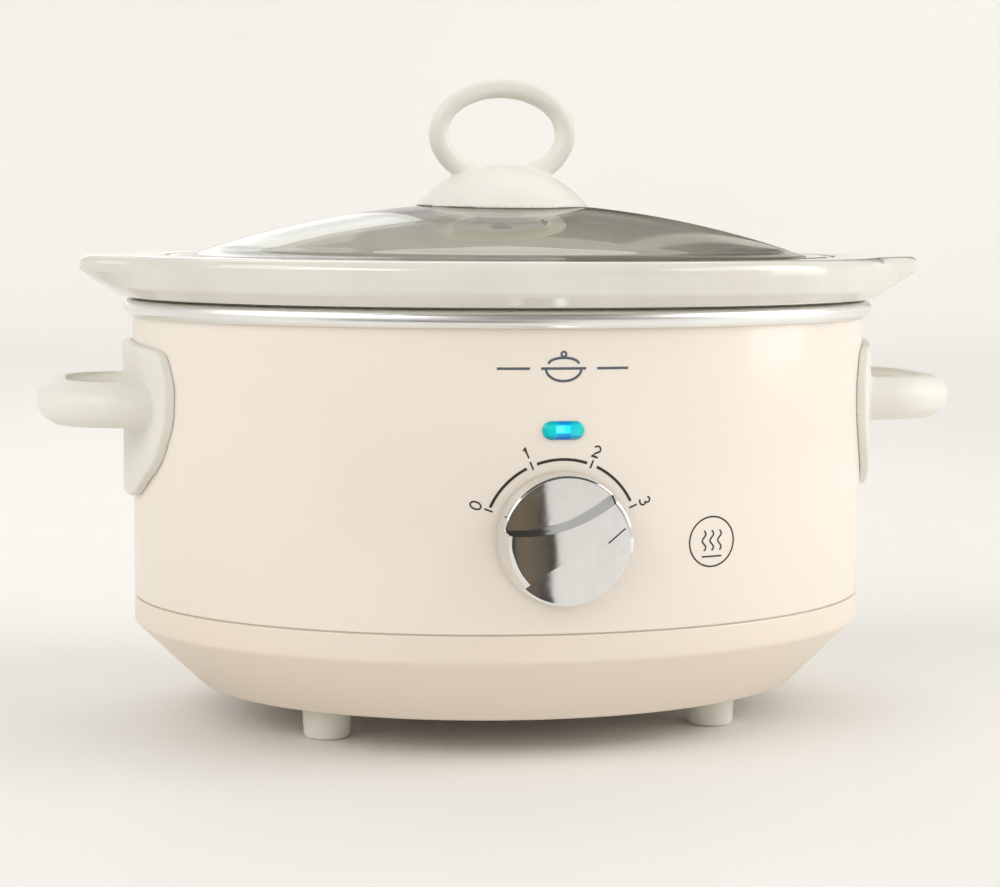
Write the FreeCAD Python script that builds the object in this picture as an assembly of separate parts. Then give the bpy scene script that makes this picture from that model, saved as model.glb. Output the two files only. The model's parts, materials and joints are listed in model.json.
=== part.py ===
import FreeCAD
import Part
import math
import os

# Oval slow cooker, in millimetres. +Z is up and the control knob faces -Y.
# The body is an oval: every round wall is a turned profile, squashed in Y.
# A profile's corner is (half-width along X, height, corner radius).

# ---- driving dimensions ---------------------------------------------------
BODY_HALF_X = 150.0          # body wall, half of the long side
BODY_HALF_Y = 121.0          # body wall, half of the short side
ASPECT = BODY_HALF_Y / BODY_HALF_X
OVAL_CENTRE_Y = 4.55         # the knob stands out in front, so the oval sits this far back

SHEET = 0.8                  # body wall and heating well, sheet steel
BASE_BOTTOM = 14.6           # underside of the base, feet below it
BASE_CORNER = 40.5           # where the sloping skirt meets the upright band
SEAM = 51.3                  # where the body wall stands on the base
SEAM_GAP = 0.6
WELL_FLOOR = 50.0
WELL_FLOOR_X = 122.5         # inside half-width of the well at its floor
WELL_TOP_X = 137.5           # inside half-width of the well at its mouth
BEAD_LOW = 163.4
BEAD_TOP = 170.1
BEAD_OUT = 153.8             # how far the rolled bead reaches along X
RIM_TOP = 187.8
LEDGE = 183.9                # where the lid rests in the pot's rim
LID_EDGE_X = 136.0
LID_GLASS = 4.0
LID_APEX = 209.0

KNOB_Z = 86.7
KNOB_R = 24.8                # at the back; the knob tapers to its front face
KNOB_FRONT_R = 23.0
KNOB_BACK = -121.9           # back face of the knob, just clear of the body wall
KNOB_FRONT = -138.3
KNOB_FLOOR = -129.8          # floor of the two finger hollows beside the wing
KNOB_REST = 17.0             # angle of the wing above +X at the warm setting
POINTER_X = 13.0             # inner end of the pointer line, along the wing and below its middle
POINTER_DROP = -3.5
POINTER_LONG = 7.6
POINTER_TILT = 23.4          # angle of the pointer line to the wing
SPINDLE_R = 3.0
RUNNING_FIT = 0.05           # radial clearance of a shaft in its hole

LENS_Z = 126.4
LENS_LONG = 15.7
LENS_TALL = 6.9

HANDLE_Z = 130.1             # middle height of the side handles' loops
HANDLE_TIP_X = 187.8
HANDLE_PLATE = 4.0
HANDLE_ARM_Y = 35.7          # path of each loop arm from the middle
LOOP_OUT = 9.3               # loop section: outward reach, inward reach, half height
LOOP_IN = 4.7
LOOP_HALF = 8.8

FOOT_X = 77.8
FOOT_Y = 47.5
GLAND_Z = 66.0
CORD_BORE_R = 3.6
LEAD_R = 1.1

AXIS_X = FreeCAD.Vector(1, 0, 0)
AXIS_Y = FreeCAD.Vector(0, 1, 0)
AXIS_Z = FreeCAD.Vector(0, 0, 1)
ORIGIN = FreeCAD.Vector(0, 0, 0)


# ---- helpers ----------------------------------------------------------------
def vec(x, y, z):
    return FreeCAD.Vector(x, y, z)


def on_xz(u, v):
    return vec(u, 0, v)


def on_yz(u, v):
    return vec(0, u, v)


def on_xy(u, v):
    return vec(u, v, 0)


def rounded_wire(corners, place):
    """Closed wire through (u, v, radius) corners, each rounded to its radius."""
    count = len(corners)
    stops = []
    for i in range(count):
        before = place(*corners[i - 1][:2])
        here = place(*corners[i][:2])
        after = place(*corners[(i + 1) % count][:2])
        radius = corners[i][2]
        if radius == 0:
            stops.append((here, None, here))
            continue
        back = (before - here).normalize()
        ahead = (after - here).normalize()
        half = back.getAngle(ahead) / 2
        cut = radius / math.tan(half)
        inward = (back + ahead).normalize()
        middle = here + inward * (radius / math.sin(half) - radius)
        stops.append((here + back * cut, middle, here + ahead * cut))
    edges = []
    for i in range(count):
        enter, middle, leave = stops[i]
        last = stops[i - 1][2]
        if (enter - last).Length > 1e-6:
            edges.append(Part.makeLine(last, enter))
        if middle is not None:
            edges.append(Part.Arc(enter, middle, leave).toShape())
    return Part.Wire(edges)


def turned(corners, x=0.0, y=0.0):
    """Round solid: the profile turned about a vertical axis at x, y."""
    face = Part.Face(rounded_wire(corners, on_xz))
    solid = face.revolve(ORIGIN, AXIS_Z, 360)
    solid.translate(vec(x, y, 0))
    return solid


def oval(corners):
    """Oval solid: the profile turned about Z, seam at the back, then squashed in Y."""
    solid = turned(corners)
    solid.rotate(ORIGIN, AXIS_Z, 90)
    squash = FreeCAD.Matrix()
    squash.scale(1, ASPECT, 1)
    return solid.transformGeometry(squash)


def oval_plug(half_x, low, high):
    return oval([(0, low, 0), (half_x, low, 0), (half_x, high, 0), (0, high, 0)])


def oval_ring(inner, outer, low, high):
    return oval([(inner, low, 0), (outer, low, 0), (outer, high, 0), (inner, high, 0)])


def box(x0, x1, y0, y1, z0, z1):
    return Part.makeBox(x1 - x0, y1 - y0, z1 - z0, vec(x0, y0, z0))


def rod(radius, start, end):
    along = end - start
    return Part.makeCylinder(radius, along.Length, start, along)


def hexagon(across, x, y, low, high):
    corner = across / math.sqrt(3)
    points = []
    for i in range(7):
        turn = math.radians(60 * i)
        points.append(vec(x + corner * math.cos(turn), y + corner * math.sin(turn), low))
    return Part.Face(Part.makePolygon(points)).extrude(vec(0, 0, high - low))


def pill(long, tall, z, y0, y1):
    """Stadium-shaped bar along Y, centred on X = 0."""
    reach = (long - tall) / 2
    half = tall / 2
    top = Part.makeLine(vec(-reach, y0, z + half), vec(reach, y0, z + half))
    right = Part.Arc(vec(reach, y0, z + half), vec(reach + half, y0, z), vec(reach, y0, z - half))
    low = Part.makeLine(vec(reach, y0, z - half), vec(-reach, y0, z - half))
    left = Part.Arc(vec(-reach, y0, z - half), vec(-reach - half, y0, z), vec(-reach, y0, z + half))
    wire = Part.Wire([top, right.toShape(), low, left.toShape()])
    return Part.Face(wire).extrude(vec(0, y1 - y0, 0))


def mirrored(shape):
    """The same piece on the other side of the YZ plane."""
    return shape.mirror(ORIGIN, AXIS_X)


def only_solid(shape):
    """The shape's single solid, tidied."""
    solid = max(shape.Solids, key=lambda s: s.Volume)
    return solid.removeSplitter()


def softened(shape, radius, wanted):
    """Round the edges that wanted(edge) picks, where that gives a sound solid."""
    edges = [edge for edge in shape.Edges if wanted(edge)]
    try:
        soft = shape.makeFillet(radius, edges)
    except Part.OCCError:
        return shape
    if soft.isValid() and soft.Volume > 0.5 * shape.Volume:
        return soft
    return shape


def well_x(z):
    """Outside half-width of the well's sloping wall at height z."""
    slope = (WELL_TOP_X - WELL_FLOOR_X) / (BEAD_TOP - WELL_FLOOR)
    return WELL_FLOOR_X + SHEET + slope * (z - WELL_FLOOR)


def wall_y(half_x, x):
    """How far an oval of that half-width reaches along Y at x."""
    return half_x * ASPECT * math.sqrt(1 - (x / half_x) ** 2)


def save(name, shape):
    placed = shape.copy()
    placed.translate(vec(0, OVAL_CENTRE_Y, 0))
    placed.exportStep("parts/" + name + ".step")
    sound = placed.isValid() and all(s.isClosed() for s in placed.Shells)
    print(name, len(placed.Solids), "solid(s)", round(placed.Volume), "mm3", "ok" if sound else "NOT SOUND")


# ---- base, body wall and heating well ---------------------------------------
def base_moulding():
    wall = 2.4
    recess = 13.0
    recess_top = 20.6
    shell = oval([
        (0, recess_top, 0), (recess, recess_top, 0), (recess, BASE_BOTTOM, 0),
        (123.2, BASE_BOTTOM, 4.0), (BODY_HALF_X, BASE_CORNER, 3.0),
        (BODY_HALF_X, SEAM - SEAM_GAP, 0.8), (148.9, SEAM - SEAM_GAP, 0), (148.9, 57.0, 0.5),
        (147.0, 57.0, 0.5), (147.0, BASE_CORNER + 1.0, 2.0), (122.2, BASE_BOTTOM + wall, 3.0),
        (recess + wall, BASE_BOTTOM + wall, 0), (recess + wall, recess_top + wall, 0),
        (0, recess_top + wall, 0)])
    for x, y in foot_places():
        shell = shell.fuse(rod(4.5, vec(x, y, BASE_BOTTOM + 1), vec(x, y, 28.0)))
    for x, y in foot_places():
        shell = shell.cut(rod(1.8, vec(x, y, 0), vec(x, y, 26.0)))
    shell = shell.cut(rod(3.3, vec(0, 0, 0), vec(0, 0, 30)))
    return only_solid(shell)


def body_shell():
    wall = oval_ring(BODY_HALF_X - SHEET, BODY_HALF_X, SEAM, BEAD_TOP - SHEET - 0.3)
    wall = wall.cut(rod(5.3, vec(0, -130, KNOB_Z), vec(0, -100, KNOB_Z)))
    wall = wall.cut(pill(LENS_LONG + 0.3, LENS_TALL + 0.3, LENS_Z, -130, -100))
    wall = wall.cut(box(-6.6, 6.6, 100, 130, SEAM - 1, GLAND_Z + 6.6))    # cord slot
    for side in (-1, 1):
        for arm in (-1, 1):
            start = vec(side * 120, arm * HANDLE_ARM_Y, HANDLE_Z)
            end = vec(side * 160, arm * HANDLE_ARM_Y, HANDLE_Z)
            wall = wall.cut(rod(2.3, start, end))
    return only_solid(wall)


def heating_well():
    """Pressed well whose mouth runs out flat and rolls over the body wall as a bead."""
    return oval([
        (0, WELL_FLOOR - SHEET, 0), (WELL_FLOOR_X + SHEET, WELL_FLOOR - SHEET, 20.0),
        (WELL_TOP_X + SHEET, BEAD_TOP - SHEET, 0.7),
        (BEAD_OUT - SHEET, BEAD_TOP - SHEET, 2.5), (BEAD_OUT - SHEET, BEAD_LOW + SHEET, 2.5),
        (BODY_HALF_X + 0.05, BEAD_LOW + SHEET, 0), (BODY_HALF_X + 0.05, BEAD_LOW, 0),
        (BEAD_OUT, BEAD_LOW, 3.3), (BEAD_OUT, BEAD_TOP, 3.3),
        (WELL_TOP_X, BEAD_TOP, 1.5), (WELL_FLOOR_X, WELL_FLOOR, 19.2), (0, WELL_FLOOR, 0)])


def wall_layer(gap, thick, low, high):
    """Oval layer that follows the well's sloping wall, a gap away from it."""
    return oval([
        (well_x(low) + gap, low, 0), (well_x(low) + gap + thick, low, 0),
        (well_x(high) + gap + thick, high, 0), (well_x(high) + gap, high, 0)])


def heater_band():
    """Band element round the well, open at the back, with two terminal tabs."""
    low, high = 72.0, 112.0
    band = wall_layer(0.4, 1.6, low, high).cut(box(-8, 8, 60, 130, low - 1, high + 1))
    for side in (-1, 1):
        x = side * 26.0
        y = wall_y(well_x(92) + 1.5, x)
        band = band.fuse(box(x - 3.2, x + 3.2, y - 0.1, y + 5.5, 91.6, 92.4))
    return only_solid(band)


CLAMP_SCREW_OUT = 4.3        # clamp screw's distance out from the band


def heater_clamp():
    """Bridge that draws the band's two ends together, with its ears for the screw."""
    inner = wall_layer(2.1, 0.8, 84.0, 100.0).common(box(-20, 20, 60, 130, 80, 104))
    near = wall_y(well_x(92) + 2.5, 5.0)
    ears = [box(x, x + 1.2, near, near + 7.0, 84.0, 100.0) for x in (-6.2, 5.0)]
    bridge = inner.cut(box(-5.0, 5.0, 60, 130, 80, 104)).fuse(ears)
    bridge = bridge.cut(rod(1.6, vec(-9, near + CLAMP_SCREW_OUT, 95), vec(9, near + CLAMP_SCREW_OUT, 95)))
    return bridge.removeSplitter()


def heater_clamp_screw():
    y = wall_y(well_x(92) + 2.5, 5.0) + CLAMP_SCREW_OUT
    shank = rod(1.5, vec(-9.0, y, 95.0), vec(9.0, y, 95.0))
    head = rod(2.6, vec(6.2, y, 95.0), vec(9.0, y, 95.0))
    nut = rod(2.6, vec(-9.0, y, 95.0), vec(-6.2, y, 95.0))
    return only_solid(shank.fuse([head, nut]))


def insulation_blanket():
    """Mineral wool wrap, cut away round the switch in front and the clamp behind."""
    wrap = wall_layer(3.2, 5.0, 64.0, 150.0)
    wrap = wrap.cut(box(-36, 36, -130, -60, 60, 144))
    return only_solid(wrap.cut(box(-36, 36, 60, 130, 60, 116)))


def heat_shield():
    """Shallow tray under the well that keeps the heat off the base."""
    tray = oval([
        (0, 36.0, 0), (104.0, 36.0, 1.6), (104.0, 31.0, 0), (103.2, 31.0, 0),
        (103.2, 35.2, 0.8), (0, 35.2, 0)])
    tray = tray.cut(rod(3.4, vec(0, 0, 30), vec(0, 0, 40)))
    return only_solid(tray.cut(rod(9.0, vec(46, -24, 30), vec(46, -24, 40))))


def centre_stud():
    """Stud welded under the well that clamps base, shield and well together."""
    plate = rod(9.0, vec(0, 0, WELL_FLOOR - SHEET - 1.2), vec(0, 0, WELL_FLOOR - SHEET))
    return only_solid(plate.fuse(rod(3.0, vec(0, 0, 15.2), vec(0, 0, 48.5))))


def centre_spacer():
    return turned([(3.2, 36.1, 0), (5.4, 36.1, 0), (5.4, 47.9, 0), (3.2, 47.9, 0)])


def stud_nuts():
    """Nut under the base and nut under the heat shield."""
    nuts = []
    for low, high in ((15.4, 19.4), (31.0, 35.1)):
        nuts.append(hexagon(10.0, 0, 0, low, high).cut(rod(3.05, vec(0, 0, low), vec(0, 0, high))))
    return Part.makeCompound(nuts)


def centre_washer():
    return turned([(3.2, 19.45, 0), (8.5, 19.45, 0), (8.5, 20.55, 0), (3.2, 20.55, 0)])


# ---- feet -------------------------------------------------------------------
def foot_places():
    return [(side * FOOT_X, face * FOOT_Y) for side in (-1, 1) for face in (-1, 1)]


def foot(x, y):
    return turned([
        (4.2, 0, 0.5), (9.0, 0, 1.6), (9.9, BASE_BOTTOM, 0),
        (2.0, BASE_BOTTOM, 0), (2.0, 8.6, 0), (4.2, 8.6, 0)], x, y)


def foot_screw(x, y):
    return turned([
        (0, 6.0, 0), (3.4, 6.0, 0.8), (3.4, 8.5, 0), (1.7, 8.5, 0),
        (1.7, 24.0, 0.6), (0, 25.0, 0)], x, y)


# ---- side handles -----------------------------------------------------------
def loop_section():
    """Oval section of the loop: blunt inside, long nose outside."""
    top = vec(0, -HANDLE_ARM_Y, HANDLE_Z + LOOP_HALF)
    low = vec(0, -HANDLE_ARM_Y, HANDLE_Z - LOOP_HALF)
    middle = vec(0, -HANDLE_ARM_Y, HANDLE_Z)
    halves = []
    for start, end, reach in ((top, low, -LOOP_OUT), (low, top, LOOP_IN)):
        halves.append(half_oval(middle, start, end, reach))
    return Part.Wire(halves)


def half_oval(middle, start, end, reach):
    """Half ellipse in the YZ plane from start to end, bulging by reach along Y."""
    points = []
    rise = (start - end).Length / 2
    up = 1 if start.z > end.z else -1
    for step in range(9):
        turn = math.pi * step / 8
        points.append(middle + vec(0, reach * math.sin(turn), up * rise * math.cos(turn)))
    curve = Part.BSplineCurve()
    side = vec(0, math.copysign(1, reach), 0)
    curve.interpolate(Points=points, InitialTangent=side, FinalTangent=side * -1)
    return curve.toShape()


def side_handle():
    """Right-hand handle: shield-shaped plate on the wall and a level loop."""
    half = [(45.8, 151.5, 8.0), (51.4, 138.1, 20.0), (50.2, 123.1, 25.0), (42.0, 107.1, 25.0),
            (20.0, 92.4, 25.0)]
    outline = [(0, 154.4, 200.0)] + half + [(-y, z, r) for y, z, r in reversed(half)]
    shield = Part.Face(rounded_wire(outline, on_yz)).extrude(vec(200, 0, 0))
    plate = oval_ring(BODY_HALF_X + 0.05, BODY_HALF_X + HANDLE_PLATE, 90.0, 160.0).common(shield)
    plate = only_solid(plate)
    plate = softened(plate, 1.4, lambda e: on_outer_face(e))

    bend = 24.0
    bar_x = HANDLE_TIP_X - LOOP_OUT
    arm = HANDLE_ARM_Y
    z = HANDLE_Z
    lean = bend * (1 - math.sqrt(0.5))
    path = Part.Wire([
        Part.makeLine(vec(0, -arm, z), vec(bar_x - bend, -arm, z)),
        Part.Arc(vec(bar_x - bend, -arm, z), vec(bar_x - lean, -arm + lean, z),
                 vec(bar_x, -arm + bend, z)).toShape(),
        Part.makeLine(vec(bar_x, -arm + bend, z), vec(bar_x, arm - bend, z)),
        Part.Arc(vec(bar_x, arm - bend, z), vec(bar_x - lean, arm - lean, z),
                 vec(bar_x - bend, arm, z)).toShape(),
        Part.makeLine(vec(bar_x - bend, arm, z), vec(0, arm, z))])
    loop = path.makePipeShell([loop_section()], True, False)
    inside = oval_plug(BODY_HALF_X + 0.05, 100.0, 160.0)
    loop = loop.cut(inside)
    handle = plate.fuse(loop)
    for side in (-1, 1):
        y = side * HANDLE_ARM_Y
        handle = handle.cut(rod(1.8, vec(130, y, z), vec(162, y, z)))
    return only_solid(handle)


def on_outer_face(edge):
    """True for an edge that lies on the outer face of the handle plate."""
    for vertex in (edge.valueAt(edge.FirstParameter), edge.valueAt(edge.LastParameter)):
        reach = math.hypot(vertex.x, vertex.y / ASPECT)
        if abs(reach - BODY_HALF_X - HANDLE_PLATE) > 0.2:
            return False
    return True


def handle_backing():
    """Curved steel strap inside the wall that spreads the handle screws' load."""
    strap = oval_ring(147.9, 149.1, HANDLE_Z - 8, HANDLE_Z + 8).common(
        box(100, 160, -46, 46, HANDLE_Z - 9, HANDLE_Z + 9))
    for side in (-1, 1):
        y = side * HANDLE_ARM_Y
        strap = strap.cut(rod(2.3, vec(120, y, HANDLE_Z), vec(160, y, HANDLE_Z)))
    return only_solid(strap)


def handle_screws():
    """Two pan-head screws that come out through the wall into each handle."""
    screws = []
    for side in (-1, 1):
        for arm in (-1, 1):
            y = arm * HANDLE_ARM_Y
            head = rod(3.8, vec(side * 136.8, y, HANDLE_Z), vec(side * 139.4, y, HANDLE_Z))
            shank = rod(1.75, vec(side * 139, y, HANDLE_Z), vec(side * 160, y, HANDLE_Z))
            screws.append(only_solid(head.fuse(shank)))
    return Part.makeCompound(screws)


# ---- control knob and switch --------------------------------------------------
def knob_turn(shape):
    """Turn a knob piece, drawn with its wing level, to the warm setting."""
    shape.rotate(vec(0, 0, KNOB_Z), AXIS_Y, -KNOB_REST)
    return shape


def wing_outline(waist, end, y):
    """Hourglass outline, waist and end being half widths, at depth y."""
    reach = 21.5
    far = 30.0
    swell = end + (end - waist) * ((far / reach) ** 2 - 1)
    z = KNOB_Z
    top = Part.Arc(vec(-far, y, z + swell), vec(0, y, z + waist), vec(far, y, z + swell)).toShape()
    right = Part.makeLine(vec(far, y, z + swell), vec(far, y, z - swell))
    low = Part.Arc(vec(far, y, z - swell), vec(0, y, z - waist), vec(-far, y, z - swell)).toShape()
    left = Part.makeLine(vec(-far, y, z - swell), vec(-far, y, z + swell))
    return Part.Wire([top, right, low, left])


def knob_disc(front, edge):
    """Tapered round body from the back of the knob to front, with a rounded edge."""
    tall = KNOB_BACK - front
    taper = (KNOB_R - KNOB_FRONT_R) * tall / (KNOB_BACK - KNOB_FRONT)
    disc = turned([(0, 0, 0), (KNOB_R, 0, 0), (KNOB_R - taper, tall, edge), (0, tall, 0)])
    disc.rotate(ORIGIN, AXIS_X, 90)
    disc.translate(vec(0, KNOB_BACK, KNOB_Z))
    return disc


def control_knob():
    """Round knob with a raised hourglass wing between two finger hollows."""
    draft = 1.4
    wing = Part.makeLoft([
        wing_outline(5.7 + draft, 10.4 + draft, KNOB_FLOOR + 0.5),
        wing_outline(5.7, 10.4, KNOB_FRONT)], True)
    wing = wing.common(knob_disc(KNOB_FRONT, 2.4))
    knob = knob_disc(KNOB_FLOOR, 1.0).fuse(wing)
    knob = only_solid(knob)
    knob = softened(knob, 0.5, lambda e: wing_edge(e))
    knob = knob.cut(rod(21.0, vec(0, KNOB_BACK + 1, KNOB_Z), vec(0, -127.6, KNOB_Z)))
    knob = knob.fuse(rod(6.0, vec(0, -124.6, KNOB_Z), vec(0, -128.5, KNOB_Z)))
    bore = rod(SPINDLE_R + RUNNING_FIT, vec(0, -124, KNOB_Z), vec(0, -134.5, KNOB_Z))
    bore = bore.cut(box(-5, 5, -140, -120, KNOB_Z + 2.6, KNOB_Z + 5))
    knob = knob.cut(bore)
    knob = knob.cut(pointer_bar(0.28, KNOB_FRONT - 1))
    return knob_turn(only_solid(knob))


def wing_edge(edge):
    """True for the wing's long edges on its front face."""
    middle = edge.valueAt((edge.FirstParameter + edge.LastParameter) / 2)
    flat = abs(middle.y - KNOB_FRONT) < 0.05
    return flat and abs(middle.x) < 3 and edge.Length > 20


def pointer_bar(half, front):
    """Bar along the pointer line, half wide to each side, from front to the groove's floor."""
    z = KNOB_Z + POINTER_DROP
    bar = box(POINTER_X - half, POINTER_X + POINTER_LONG + half, front, KNOB_FRONT + 0.6, z - half, z + half)
    bar.rotate(vec(POINTER_X, 0, z), AXIS_Y, -POINTER_TILT)
    return bar


def knob_pointer():
    """Dark line let into the end of the wing."""
    return knob_turn(pointer_bar(0.24, KNOB_FRONT + 0.02))


def switch_spindle():
    """D-shaped spindle: journal behind, cam seat, then the nose inside the knob."""
    spindle = rod(SPINDLE_R, vec(0, -110.0, KNOB_Z), vec(0, -134.0, KNOB_Z))
    spindle = spindle.fuse(rod(2.0, vec(0, -107.9, KNOB_Z), vec(0, -110.5, KNOB_Z)))
    spindle = spindle.cut(box(-5, 5, -140, -124.2, KNOB_Z + 2.1, KNOB_Z + 5))
    return knob_turn(only_solid(spindle))


def knob_spring_clip():
    """Leaf spring that grips the spindle's flat inside the knob."""
    return knob_turn(box(-1.7, 1.7, -133.5, -126.0, KNOB_Z + 2.15, KNOB_Z + 2.55))


def switch_cam():
    """Four-lobed cam on the spindle that lifts the switch's contacts."""
    cam = rod(7.5, vec(0, -110.6, KNOB_Z), vec(0, -115.0, KNOB_Z))
    for lobe in range(4):
        turn = math.radians(46 * lobe)
        x = 7.0 * math.cos(turn)
        z = KNOB_Z + 7.0 * math.sin(turn)
        cam = cam.fuse(rod(1.6, vec(x, -110.6, z), vec(x, -115.0, z)))
    cam = cam.cut(rod(SPINDLE_R + 0.02, vec(0, -105, KNOB_Z), vec(0, -120, KNOB_Z)))
    return knob_turn(only_solid(cam))


def switch_body():
    """Moulded box with a threaded bush in front."""
    z = KNOB_Z
    case = box(-15, 15, -117.8, -107.9, z - 14, z + 14)
    case = case.fuse(rod(5.0, vec(0, -117.0, z), vec(0, -124.0, z)))
    case = case.cut(box(-12.6, 12.6, -116.0, -107.0, z - 11.6, z + 11.6))
    return only_solid(case.cut(rod(SPINDLE_R + RUNNING_FIT, vec(0, -105, z), vec(0, -130, z))))


def switch_cover():
    """Back plate of the switch, with the hole that carries the spindle's journal."""
    z = KNOB_Z
    plate = box(-12.5, 12.5, -110.0, -107.9, z - 11.5, z + 11.5)
    plate = plate.cut(rod(2.0 + RUNNING_FIT, vec(0, -105, z), vec(0, -112, z)))
    return only_solid(plate)


def switch_terminals():
    """Three blade terminals below the switch and one above it."""
    z = KNOB_Z
    blades = []
    for x, low, high in ((-9, z - 21, z - 14), (0, z - 21, z - 14), (9, z - 21, z - 14), (9, z + 14, z + 20)):
        blades.append(box(x - 2.4, x + 2.4, -113.4, -112.6, low, high))
    return Part.makeCompound(blades)


def switch_bracket():
    """Steel plate between the switch and the body wall."""
    z = KNOB_Z
    plate = box(-19, 19, -118.8, -117.9, z - 15, z + 15)
    return only_solid(plate.cut(rod(5.1, vec(0, -125, z), vec(0, -110, z))))


def switch_nut():
    nut = hexagon(13.0, 0, 0, 0, 2.2)
    nut = nut.cut(rod(5.05, vec(0, 0, 0), vec(0, 0, 3)))
    nut.rotate(ORIGIN, AXIS_X, 90)
    nut.translate(vec(0, -121.1, KNOB_Z))
    return only_solid(nut)


# ---- indicator lamp -----------------------------------------------------------
def lamp_lens():
    """Clear pill-shaped window with a flange behind the wall."""
    window = pill(LENS_LONG, LENS_TALL, LENS_Z, -122.3, -118.6)
    window = softened(window, 0.9, lambda e: abs(e.BoundBox.YMin + 122.3) < 0.01 and e.BoundBox.YLength < 0.01)
    return only_solid(window.fuse(pill(19.0, 10.6, LENS_Z, -119.5, -118.3)))


def lamp_holder():
    holder = box(-11, 11, -118.2, -110.4, LENS_Z - 6.2, LENS_Z + 6.2)
    return only_solid(holder.cut(box(-7, 7, -119, -112.0, LENS_Z - 3.2, LENS_Z + 3.2)))


def indicator_lamp():
    return only_solid(box(-2.8, 2.8, -118.0, -112.1, LENS_Z - 2.2, LENS_Z + 2.2))


# ---- wiring ---------------------------------------------------------------------
BLOCK_Y0 = 62.0
BLOCK_Y1 = 80.0
BLOCK_LOW = 17.1
BLOCK_HIGH = 29.0
BLOCK_WAYS = (-10.0, 0.0, 10.0)


def terminal_block():
    """Three-way ceramic block on the base, a wire way through each pole."""
    block = box(-16, 16, BLOCK_Y0, BLOCK_Y1, BLOCK_LOW, BLOCK_HIGH)
    for x in BLOCK_WAYS:
        block = block.cut(rod(1.6, vec(x, BLOCK_Y0 - 1, 23), vec(x, BLOCK_Y1 + 1, 23)))
        for y in (66.0, 76.0):
            block = block.cut(rod(2.1, vec(x, y, 24.0), vec(x, y, 31)))
    return only_solid(block)


def terminal_screws():
    screws = []
    for x in BLOCK_WAYS:
        for y in (66.0, 76.0):
            screws.append(rod(1.9, vec(x, y, 24.8), vec(x, y, 28.4)))
    return Part.makeCompound(screws)


def cord_gland():
    """Bush in the back of the body that the mains cord would pass through."""
    bush = turned([
        (CORD_BORE_R, 0, 0.8), (6.4, 0, 0), (6.4, 5.2, 0), (7.5, 5.2, 0), (6.9, 8.0, 0),
        (6.3, 8.0, 0), (6.3, 10.3, 0), (9.2, 10.3, 0), (9.2, 12.0, 1.0), (7.0, 15.0, 1.0),
        (CORD_BORE_R, 15.0, 0.8)])
    bush.rotate(ORIGIN, AXIS_X, -90)
    bush.translate(vec(0, 110.9, GLAND_Z))
    return bush


def thermal_cutout():
    """Disc thermostat pressed against the underside of the well."""
    x, y = 46.0, -24.0
    top = WELL_FLOOR - SHEET - 0.05
    body = rod(8.0, vec(x, y, top - 6.0), vec(x, y, top))
    tabs = [box(x + s * 5 - 1.6, x + s * 5 + 1.6, y - 0.4, y + 0.4, top - 11.4, top - 5.9)
            for s in (-1, 1)]
    return only_solid(body.fuse(tabs))


def cutout_clip():
    """Sprung strap that holds the thermostat up."""
    x, y = 46.0, -24.0
    top = WELL_FLOOR - SHEET - 0.05
    ring = turned([(8.1, top - 7.0, 0), (8.9, top - 7.0, 0), (8.9, top - 0.8, 0), (13.0, top - 0.8, 0),
                   (13.0, top, 0), (8.1, top, 0)], x, y)
    return only_solid(ring)


def lead(points, radius=LEAD_R):
    """Insulated wire: straight runs joined by tangent arcs, ends square."""
    spots = [vec(*p) for p in points]
    edges = []
    last = spots[0]
    for i in range(1, len(spots) - 1):
        back = spots[i - 1] - spots[i]
        ahead = spots[i + 1] - spots[i]
        shorter = min(back.Length, ahead.Length)
        half = back.getAngle(ahead) / 2
        cut = 0.45 * shorter
        bend = cut * math.tan(half)
        back.normalize()
        ahead.normalize()
        inward = (back + ahead).normalize()
        enter = spots[i] + back * cut
        leave = spots[i] + ahead * cut
        middle = spots[i] + inward * (bend / math.sin(half) - bend)
        edges.append(Part.makeLine(last, enter))
        edges.append(Part.Arc(enter, middle, leave).toShape())
        last = leave
    edges.append(Part.makeLine(last, spots[-1]))
    path = Part.Wire(edges)
    start = Part.makeCircle(radius, spots[0], spots[1] - spots[0])
    tube = path.makePipeShell([Part.Wire(start)], True, False)
    ratio = tube.Volume / (math.pi * radius ** 2 * path.Length)
    print("lead length", round(path.Length), "volume ratio", round(ratio, 3))
    return tube


LEADS = {
    "lead_live": [(-10, 61.5, 23), (-10, 44, 23), (-19, 14, 23), (-20, -22, 23), (-13, -58, 23),
                  (-9, -88, 27), (-9, -108, 42), (-9, -113, 56), (-9, -113, 65.6)],
    "lead_neutral": [(0, 61.5, 23), (0, 50, 24.5), (-14, 37, 28.5), (-38, 38, 28.5), (-60, 54, 26),
                     (-66, 76, 27.5), (-58, 90, 40), (-44, 97, 52), (-32, 101.5, 64),
                     (-27, 105.5, 78), (-26, 105.5, 91.5)],
    "lead_cutout": [(9, -113, 65.6), (9, -113, 56), (14, -107, 43), (24, -88, 30), (34, -62, 24),
                    (40, -38, 25), (41, -25, 30), (41, -24, 37.55)],
    "lead_heater": [(51, -24, 37.55), (51, -23, 30), (60, -14, 25), (72, 6, 25), (70, 34, 25),
                    (70, 56, 26), (67, 78, 30), (58, 89, 42), (46, 96.5, 52), (33, 101.5, 64),
                    (27, 105.5, 78), (26, 105.5, 91.5)],
    "lead_earth": [(10, 61.5, 23), (10, 50, 23), (16, 36, 23.5), (27, 25, 25), (30, 21, 29.5), (30, 21, 34.1)],
    "lead_lamp": [(9, -113, 106.8), (9, -113, 110.5), (8, -114.4, 115.3), (8, -114.4, 120.1)],
}


def earth_tag():
    """Ring tag and screw that earth the heat shield."""
    tag = box(27, 33, 14, 26, 34.2, 35.1)
    return only_solid(tag.fuse(rod(2.8, vec(30, 16.8, 31.5), vec(30, 16.8, 34.6))))


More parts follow.
